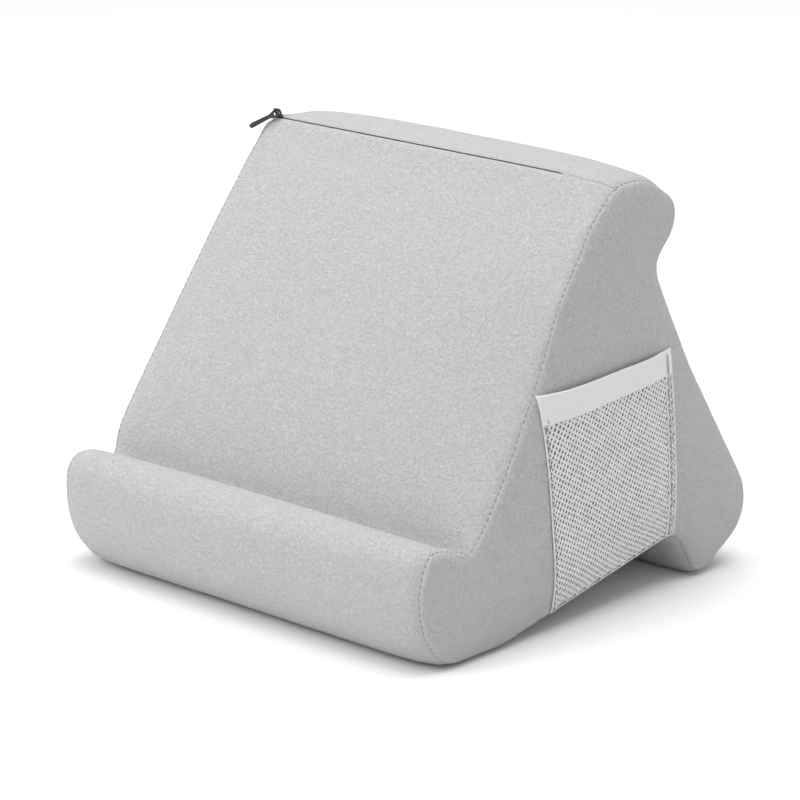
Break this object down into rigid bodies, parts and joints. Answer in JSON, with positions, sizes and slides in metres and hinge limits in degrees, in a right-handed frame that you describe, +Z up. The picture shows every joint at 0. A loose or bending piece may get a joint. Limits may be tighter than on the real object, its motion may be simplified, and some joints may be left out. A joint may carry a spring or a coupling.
{
  "type": "tablet stand",
  "caption": "Soft foam wedge stand in a zipped plush cover, with a ledge that holds a tablet at an angle and a mesh pocket on its side.",
  "frame": {"origin": "on the floor, under the middle of the stand's bounding box", "axes": "+X across the width towards the side with the mesh pocket, -Y towards the user and the front lip, +Z up"},
  "size_m": [0.2825, 0.2722, 0.2331],
  "materials": {
    "plush": "short-pile plush, soft sheen",
    "liner": "thin non-woven",
    "foam": "open-cell polyurethane foam",
    "zip_tape": "woven tape",
    "zip_coil": "nylon coil",
    "zip_metal": "gunmetal, satin",
    "pocket_net": "knitted open mesh",
    "elastic": "ribbed woven elastic",
    "thread": "polyester thread"
  },
  "bodies": {
    "stand": {"side_panel_left": "plush", "side_panel_right": "plush", "lip_panel": "plush", "face_panel": "plush", "nose_panel": "plush", "rear_panel": "plush", "base_panel": "plush", "liner_band": "liner", "liner_side_left": "liner", "liner_side_right": "liner", "foam_core": "foam", "zip_tape_front": "zip_tape", "zip_tape_rear": "zip_tape", "zip_coil_front": "zip_coil", "zip_coil_rear": "zip_coil", "zip_top_stop": "zip_metal", "zip_bottom_stop": "zip_metal", "pocket_mesh": "pocket_net", "pocket_elastic": "elastic", "pocket_bar_tacks": "thread", "pocket_hem_stitches": "thread"},
    "slider": {"zip_slider": "zip_metal"},
    "pull": {"zip_pull": "zip_metal"}
  },
  "joints": [
    {"name": "zip_slide", "type": "slide", "parent": "stand", "child": "slider", "axis": [1, 0, 0], "range_m": [0, 0.2006]},
    {"name": "pull_flip", "type": "hinge", "parent": "slider", "child": "pull", "pos_m": [-0.1173, 0.02346, 0.23104], "axis": [-0.6691, 0.6604, 0.3408], "range_deg": [0, 180]}
  ]
}
